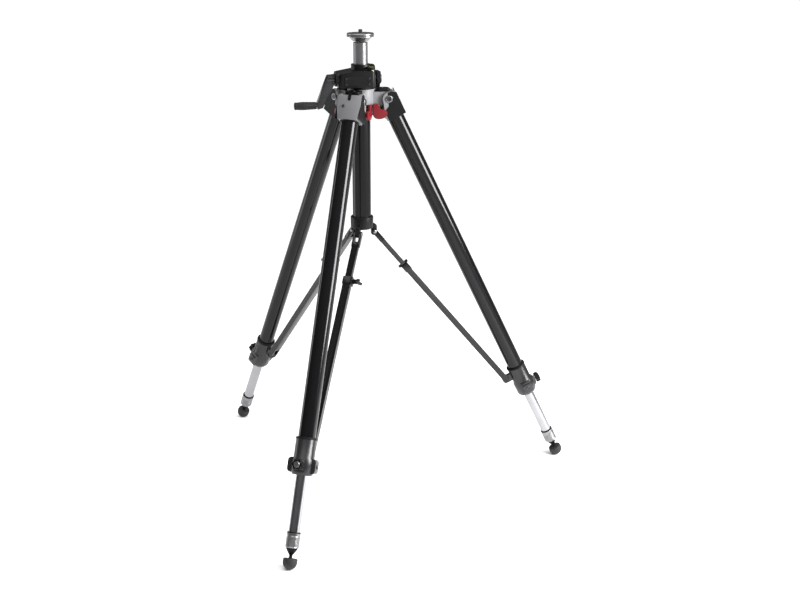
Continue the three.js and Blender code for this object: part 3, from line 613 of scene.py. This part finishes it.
for side in SIDES:
    fold = joint_named(f"leg_fold_{side}")
    reach = joint_named(f"leg_slide_{side}")
    down = Vector(reach["axis"])
    leg = axes_at(fold["pos_m"], fold["axis"], -down)  # X across, Y inwards, Z up along the leg

    keep(f"leg_pin_{side}", steel, 0.6, 3)
    keep(f"leg_head_{side}", grey_paint, 1.4, 3)
    for end, sign in ENDS:
        fit(f"pin_cap_{side}_{end}", turned_mesh([
            [0, 29.6], [5.6, 29.6], [5.6, 30.2], [5.0, 30.8], [3.2, 30.9], [3.0, 30.0], [0, 30.0]], 36),
            leg @ Matrix.Rotation(sign * math.pi / 2, 4, "Y"), "frame", dark_steel)
    # Thin black sheets lie on both sides of each head, so the head's sides show dark.
    side_sheet = [(-21.5, 6), (-12, 13.5), (-3, 13.2), (7, -14), (20.5, -21.5), (20.5, -45), (-21.5, -45)]
    for end, sign in ENDS:
        fit(f"head_side_sheet_{side}_{end}", plate_mesh(side_sheet, 26.9 * sign, 27.65 * sign),
            leg @ Matrix(((0, 0, 1, 0), (1, 0, 0, 0), (0, 1, 0, 0), (0, 0, 0, 1))),
            f"leg_{side}", black_plastic, (), 0.3)
    # A black slab on the head's face stands for the slot in it: painted shade of the slot's hollow.
    fit(f"head_slot_shade_{side}", plate_mesh(cover_outline(-3.3, 3.3, 0, 16.5, 2.6), 21.2, 23.0),
        leg @ Matrix.Translation((0, 0, -0.004)) @ ALONG_Y,
        f"leg_{side}", black_plastic, (), 0.3)
    fit(f"head_screw_{side}", turned_mesh([
        [0, 22.2], [3.4, 22.2], [3.4, 23.6], [2.8, 24.2], [1.7, 24.2], [1.6, 23.0], [0, 23.0]], 32),
        leg @ Matrix.Translation((-0.0115, 0, -0.017)) @ ALONG_Y,
        f"leg_{side}", dark_steel)
    fit(f"head_lip_{side}", turned_mesh([
        [18.4, -48.5], [20.6, -48.5], [21.2, -47.9], [21.2, -45.8], [18.4, -45.8], [18.4, -48.5]], 64),
        leg, f"leg_{side}", black_plastic, (), 0.2)

    fit(f"upper_leg_tube_{side}", turned_mesh([
        [0, -775.6], [18.1, -775.6], [18.5, -775.2], [18.5, -30], [18.1, -29.4], [0, -29.4]], 96),
        leg, f"leg_{side}", gloss_black, f"upper_tube_{side}")

    keep(f"leg_collar_{side}", dark_paint, 1.1, 3)
    fit(f"collar_lip_{side}", turned_mesh([
        [18.6, -737], [23.0, -737], [23.4, -736.2], [23.0, -733.6], [20.4, -732.0], [18.6, -732.0],
        [18.6, -737]], 72),
        leg, f"leg_{side}", black_plastic)
    for end, sign in ENDS:
        fit(f"collar_bolt_{side}_{end}", turned_mesh([
            [0, 30.2], [4.6, 30.2], [4.6, 32.0], [4.0, 32.6], [2.4, 32.6], [2.3, 31.0], [0, 31.0]], 32),
            leg @ Matrix.Translation((0, 0, -0.792)) @ Matrix.Rotation(sign * math.pi / 2, 4, "Y"),
            f"leg_{side}", dark_steel)
        fit(f"lug_washer_{side}_{end}", turned_mesh([
            [0, 4.8], [6.4, 4.8], [6.4, 5.4], [0, 5.4]], 36),
            leg @ Matrix.Translation((0, 0.036, -0.756)) @ Matrix.Rotation(sign * math.pi / 2, 4, "Y"),
            f"leg_{side}", steel)

    knob_place = leg @ Matrix.Translation((0, 0, -0.791)) @ ALONG_Y
    fit(f"collar_knob_lobed_{side}", plate_mesh(ribbed_outline(6, 9.6, 12.4, 12), 30.2, 40.8),
        knob_place, f"collar_knob_{side}", black_plastic, f"collar_knob_{side}", 1.4, 3)
    fit(f"collar_knob_cap_{side}", turned_mesh([
        [0, 28.4], [7.8, 28.4], [7.8, 30.4], [6.2, 30.4], [6.2, 40.9], [5.6, 41.5], [0, 41.5]], 36),
        knob_place, f"collar_knob_{side}", steel)

    keep(f"release_lever_{side}", red_plastic, 1.0, 3)

    fit(f"lower_leg_tube_{side}", turned_mesh([
        [0, -956], [12.2, -956], [12.5, -955.6], [12.5, -331], [12.1, -330.4], [0, -330.4]], 80),
        leg, f"lower_leg_{side}", chrome, f"lower_tube_{side}")
    ring = [[12.4, -931.6], [14.4, -932], [14.8, -932.6], [14.8, -936.6], [14.2, -937], [14.2, -938.2]]
    for k in range(8):
        z = -939.5 - k * 2.6
        ring += [[14.9, z], [14.9, z - 1.7], [14.45, z - 2.1]]
    ring += [[14.9, -961.4], [14.2, -962.6], [12.6, -963], [6, -963], [4.6, -963], [4.6, -957],
             [12.4, -957], [12.4, -931.6]]
    fit(f"foot_ring_turned_{side}", turned_mesh(ring, 96),
        leg, f"lower_leg_{side}", turned_metal, f"foot_ring_{side}", 0.12)
    # A black ring on top of each foot ring is painted shade: it stands for the shadow inside the ring's
    # upper chamfer.
    fit(f"ring_top_shade_{side}", turned_mesh([
        [12.6, -929.6], [13.6, -929.6], [14.9, -930.6], [14.9, -932.2], [12.6, -932.2],
        [12.6, -929.6]], 72),
        leg, f"lower_leg_{side}", black_plastic)

    fit(f"foot_cone_{side}", turned_mesh([
        [0, -957.5], [4.0, -957.5], [4.0, -963.3], [12.2, -963.3], [12.5, -963.8], [12.1, -965.2],
        [5.6, -975.4], [4.6, -976.2], [3.9, -977], [3.6, -978], [3.9, -978.8], [3.6, -979.6],
        [3.9, -980.4], [3.6, -981.2], [3.9, -982], [3.9, -990], [0, -998.8]], 64),
        leg, f"lower_leg_{side}", black_plastic, f"foot_spike_{side}", 0.15)

    foot = [[0, -984.4], [3.9, -984.4], [4.2, -983.6], [9, -984.0], [13.8, -984.2], [15.0, -985.0],
            [15.4, -986.4]]
    foot += [[15.5, -988], [15.2, -988.3], [15.2, -989.6], [15.5, -989.9], [BALL_RADIUS, -BALL_PLACE]]
    for k in range(1, 25):
        a = math.pi / 2 * k / 24
        foot.append([BALL_RADIUS * math.cos(a) if k < 24 else 0, -BALL_PLACE - BALL_RADIUS * math.sin(a)])
    fit(f"foot_ball_{side}", turned_mesh(foot, 72),
        leg, f"foot_{side}", black_rubber, f"rubber_foot_{side}", 0.1)


# ---- Braces ----
# Each brace is two black box tubes, one inside the other, pinned to the hub and to the
# collar's lug. A wing screw in a clamp at the outer tube's end holds its length.
brace_black = coated("satin_black_tube", (0.005, 0.005, 0.0055), 0.28, 1300, 0.08, speckle=0.15, marks=0.3,
                     bare=(0.35, 0.35, 0.36), wear_amount=0.1, coat=0.3, coat_roughness=0.15, gloss=0.1)
for side in SIDES:
    hinge = joint_named(f"brace_fold_{side}")
    slide = joint_named(f"brace_slide_{side}")
    brace = axes_at(hinge["pos_m"], hinge["axis"], slide["axis"])  # X across, Z up along the brace
    keep(f"brace_rod_{side}", brace_black, 0.7)
    keep(f"brace_tube_{side}", brace_black, 0.9, 3)
    keep(f"wing_screw_{side}", black_plastic, 0.8, 3)
    for end, sign in ENDS:
        fit(f"hub_rivet_{side}_{end}", turned_mesh([
            [0, 8.6], [4.4, 8.6], [4.2, 9.6], [3.2, 10.4], [1.6, 10.8], [0, 10.9]], 32),
            brace @ Matrix.Rotation(sign * math.pi / 2, 4, "Y"), f"brace_rod_{side}", steel)
    screw = joint_named(f"wing_screw_turn_{side}")
    fit(f"wing_boss_{side}", turned_mesh([
        [0, -7.6], [4.9, -7.6], [5.4, -7.0], [5.4, 1.5], [4.0, 2.6], [0, 2.8]], 36),
        axes_at(screw["pos_m"], screw["axis"], (0, 0, 1)) @ ALONG_X,
        f"wing_screw_{side}", black_plastic, (), 0.2)
